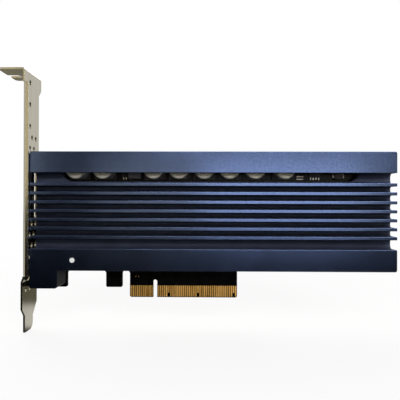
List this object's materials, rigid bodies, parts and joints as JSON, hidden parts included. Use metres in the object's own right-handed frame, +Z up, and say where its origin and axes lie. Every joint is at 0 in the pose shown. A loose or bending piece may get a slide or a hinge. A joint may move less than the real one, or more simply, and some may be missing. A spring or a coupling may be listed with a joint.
{
  "type": "pcie add-in card ssd",
  "caption": "Half-length add-in card solid state drive with a finned blue heat sink, eight-lane gold edge connector and full-height folded bracket.",
  "frame": {"origin": "on the contact edge of the board, at the centre of the key notch and of the board's thickness", "axes": "+X along the card away from the bracket, +Y from the component side to the solder side, +Z up from the contact edge to the card's top edge"},
  "size_m": [0.179, 0.0216, 0.12],
  "materials": {
    "blue_anodised": "satin, dark blue anodised over a fine blasted grain",
    "black_anodised": "matt black anodised",
    "black_board": "black solder mask over glass laminate",
    "gold": "hard gold plate on copper",
    "nickel_steel": "bright nickel-plated steel sheet, slightly warm",
    "bright_steel": "polished stainless steel",
    "white_plastic": "white moulded nylon",
    "can_aluminium": "bare drawn aluminium",
    "dark_plastic": "black moulded plastic",
    "grey_ferrite": "dark grey pressed ferrite",
    "mould_compound": "black moulded package",
    "tinned_leads": "tinned copper",
    "brown_plastic": "dark reddish moulded plastic",
    "pale_ceramic": "pale fired ceramic with tinned ends",
    "tan_ceramic": "tan fired ceramic",
    "lid_metal": "nickel-plated lid",
    "thermal_pad": "soft grey-blue filled silicone",
    "clear_light": "pale clear moulding",
    "brass_ring": "plain brass",
    "black_screw": "black zinc-coated steel"
  },
  "bodies": {
    "root": {"heat_sink": "blue_anodised", "circuit_board": "black_board", "edge_contacts_front": "gold", "edge_contacts_rear": "gold", "mounting_bracket": "nickel_steel", "locating_pin": "white_plastic", "capacitor_cans": "can_aluminium", "capacitor_bases": "dark_plastic", "backup_inductor": "grey_ferrite", "converter_chips": "mould_compound", "converter_leads": "tinned_leads", "protection_diode": "brown_plastic", "ballast_chip": "pale_ceramic", "controller_substrate": "black_board", "controller_lid": "lid_metal", "controller_pad": "thermal_pad", "flash_packages_front": "mould_compound", "flash_packages_rear": "mould_compound", "flash_pads_front": "thermal_pad", "flash_pads_rear": "thermal_pad", "memory_packages_front": "mould_compound", "memory_packages_rear": "mould_compound", "memory_pads_front": "thermal_pad", "power_inductors": "grey_ferrite", "coupling_capacitors": "tan_ceramic", "decoupling_capacitors_front": "tan_ceramic", "decoupling_capacitors_rear": "tan_ceramic", "firmware_memory": "mould_compound", "clock_crystal": "lid_metal", "status_lights": "clear_light", "rear_plate": "black_anodised", "rear_spacers": "brass_ring", "plate_screws": "black_screw", "bracket_screws": "bright_steel"}
  },
  "joints": []
}
